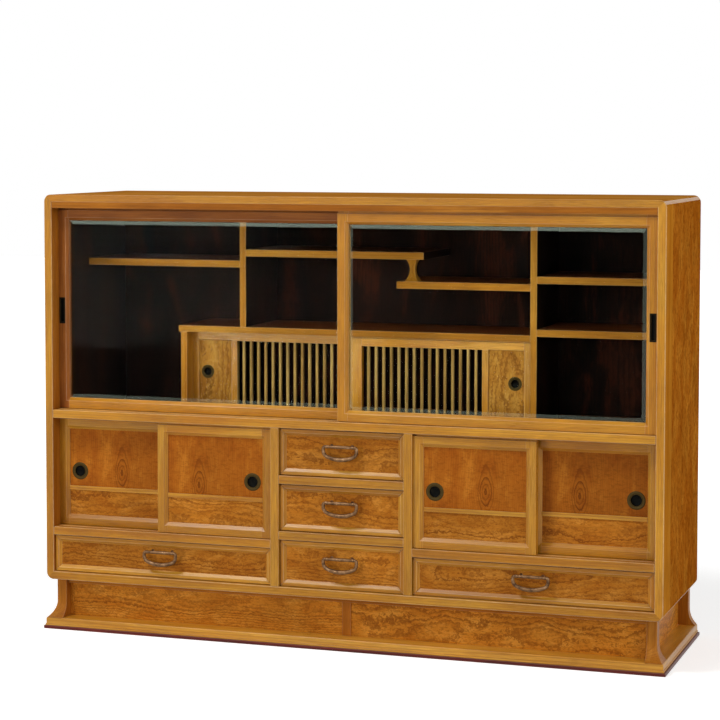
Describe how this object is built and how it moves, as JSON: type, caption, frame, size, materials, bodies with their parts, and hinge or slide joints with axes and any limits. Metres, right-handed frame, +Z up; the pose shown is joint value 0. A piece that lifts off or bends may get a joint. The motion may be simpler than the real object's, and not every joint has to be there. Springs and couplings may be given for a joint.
{
  "type": "mizuya kitchen cabinet",
  "caption": "Low Japanese kitchen cabinet with sliding glass doors over staggered shelves and a lattice cupboard, panelled sliding doors and drawers with bails below, on a footed plinth.",
  "frame": {"origin": "centre of the bounding box at floor level, under the plinth", "axes": "+X to the viewer's right along the front, +Y from the front to the back, +Z up"},
  "size_m": [1.514, 0.448, 1.05],
  "materials": {
    "frame_wood": "honey brown cedar, straight grain, oiled sheen",
    "burl_wood": "reddish brown cedar with burl and wavy figure, oiled sheen",
    "lattice_wood": "dark reddish brown cedar, satin",
    "interior_wood": "very dark reddish brown cedar, satin",
    "drawer_wood": "pale unfinished softwood",
    "sole_wood": "dark red lacquered hardwood",
    "pane_glass": "clear polished plate glass",
    "dark_iron": "near-black iron, satin",
    "aged_bronze": "brown-grey patina with rubbed highlights"
  },
  "bodies": {
    "carcase": {"case_sides": "frame_wood", "case_top": "frame_wood", "case_bottom": "frame_wood", "back_panels": "interior_wood", "upper_head_rail": "frame_wood", "middle_deck": "frame_wood", "lower_partitions": "frame_wood", "lower_boards": "frame_wood", "upper_dividers": "interior_wood", "upper_shelves": "interior_wood", "shelf_post": "interior_wood", "small_cupboard_case": "interior_wood", "plinth_sole": "sole_wood", "plinth_moulding": "frame_wood", "plinth_panels": "burl_wood", "plinth_frame": "frame_wood"},
    "glass_door_left": {"glass_door_left_frame": "frame_wood", "glass_door_left_pane": "pane_glass", "glass_door_left_pull": "dark_iron"},
    "glass_door_right": {"glass_door_right_frame": "frame_wood", "glass_door_right_pane": "pane_glass", "glass_door_right_pull": "dark_iron"},
    "lower_door_1": {"lower_door_1_frame": "frame_wood", "lower_door_1_panels": "burl_wood", "lower_door_1_pull": "dark_iron"},
    "lower_door_2": {"lower_door_2_frame": "frame_wood", "lower_door_2_panels": "burl_wood", "lower_door_2_pull": "dark_iron"},
    "lower_door_3": {"lower_door_3_frame": "frame_wood", "lower_door_3_panels": "burl_wood", "lower_door_3_pull": "dark_iron"},
    "lower_door_4": {"lower_door_4_frame": "frame_wood", "lower_door_4_panels": "burl_wood", "lower_door_4_pull": "dark_iron"},
    "lattice_door_left": {"lattice_door_left_frame": "lattice_wood", "lattice_door_left_panel": "lattice_wood", "lattice_door_left_pull": "dark_iron"},
    "lattice_door_right": {"lattice_door_right_frame": "lattice_wood", "lattice_door_right_panel": "lattice_wood", "lattice_door_right_pull": "dark_iron"},
    "drawer_left": {"drawer_left_front": "burl_wood", "drawer_left_box": "drawer_wood", "drawer_left_handle": "aged_bronze"},
    "drawer_left_bail": {"drawer_left_bail": "aged_bronze"},
    "drawer_centre_1": {"drawer_centre_1_front": "burl_wood", "drawer_centre_1_box": "drawer_wood", "drawer_centre_1_handle": "aged_bronze"},
    "drawer_centre_1_bail": {"drawer_centre_1_bail": "aged_bronze"},
    "drawer_centre_2": {"drawer_centre_2_front": "burl_wood", "drawer_centre_2_box": "drawer_wood", "drawer_centre_2_handle": "aged_bronze"},
    "drawer_centre_2_bail": {"drawer_centre_2_bail": "aged_bronze"},
    "drawer_centre_3": {"drawer_centre_3_front": "burl_wood", "drawer_centre_3_box": "drawer_wood", "drawer_centre_3_handle": "aged_bronze"},
    "drawer_centre_3_bail": {"drawer_centre_3_bail": "aged_bronze"},
    "drawer_right": {"drawer_right_front": "burl_wood", "drawer_right_box": "drawer_wood", "drawer_right_handle": "aged_bronze"},
    "drawer_right_bail": {"drawer_right_bail": "aged_bronze"}
  },
  "joints": [
    {"name": "glass_door_left_slide", "type": "slide", "parent": "carcase", "child": "glass_door_left", "axis": [1, 0, 0], "range_m": [0, 0.7197]},
    {"name": "glass_door_right_slide", "type": "slide", "parent": "carcase", "child": "glass_door_right", "axis": [-1, 0, 0], "range_m": [0, 0.7197]},
    {"name": "lower_door_1_slide", "type": "slide", "parent": "carcase", "child": "lower_door_1", "axis": [1, 0, 0], "range_m": [0, 0.2697]},
    {"name": "lower_door_2_slide", "type": "slide", "parent": "carcase", "child": "lower_door_2", "axis": [-1, 0, 0], "range_m": [0, 0.2697]},
    {"name": "lower_door_3_slide", "type": "slide", "parent": "carcase", "child": "lower_door_3", "axis": [1, 0, 0], "range_m": [0, 0.2697]},
    {"name": "lower_door_4_slide", "type": "slide", "parent": "carcase", "child": "lower_door_4", "axis": [-1, 0, 0], "range_m": [0, 0.2697]},
    {"name": "lattice_door_left_slide", "type": "slide", "parent": "carcase", "child": "lattice_door_left", "axis": [1, 0, 0], "range_m": [0, 0.4233]},
    {"name": "lattice_door_right_slide", "type": "slide", "parent": "carcase", "child": "lattice_door_right", "axis": [-1, 0, 0], "range_m": [0, 0.4233]},
    {"name": "drawer_left_slide", "type": "slide", "parent": "carcase", "child": "drawer_left", "axis": [0, -1, 0], "range_m": [0, 0.3]},
    {"name": "drawer_left_bail_hinge", "type": "hinge", "parent": "drawer_left", "child": "drawer_left_bail", "pos_m": [-0.451, -0.219, 0.2031], "axis": [-1, 0, 0], "range_deg": [0, 90]},
    {"name": "drawer_centre_1_slide", "type": "slide", "parent": "carcase", "child": "drawer_centre_1", "axis": [0, -1, 0], "range_m": [0, 0.3]},
    {"name": "drawer_centre_1_bail_hinge", "type": "hinge", "parent": "drawer_centre_1", "child": "drawer_centre_1_bail", "pos_m": [0, -0.219, 0.47527], "axis": [-1, 0, 0], "range_deg": [0, 90]},
    {"name": "drawer_centre_2_slide", "type": "slide", "parent": "carcase", "child": "drawer_centre_2", "axis": [0, -1, 0], "range_m": [0, 0.3]},
    {"name": "drawer_centre_2_bail_hinge", "type": "hinge", "parent": "drawer_centre_2", "child": "drawer_centre_2_bail", "pos_m": [0, -0.219, 0.3446], "axis": [-1, 0, 0], "range_deg": [0, 90]},
    {"name": "drawer_centre_3_slide", "type": "slide", "parent": "carcase", "child": "drawer_centre_3", "axis": [0, -1, 0], "range_m": [0, 0.3]},
    {"name": "drawer_centre_3_bail_hinge", "type": "hinge", "parent": "drawer_centre_3", "child": "drawer_centre_3_bail", "pos_m": [0, -0.219, 0.21393], "axis": [-1, 0, 0], "range_deg": [0, 90]},
    {"name": "drawer_right_slide", "type": "slide", "parent": "carcase", "child": "drawer_right", "axis": [0, -1, 0], "range_m": [0, 0.3]},
    {"name": "drawer_right_bail_hinge", "type": "hinge", "parent": "drawer_right", "child": "drawer_right_bail", "pos_m": [0.451, -0.219, 0.2031], "axis": [-1, 0, 0], "range_deg": [0, 90]}
  ]
}
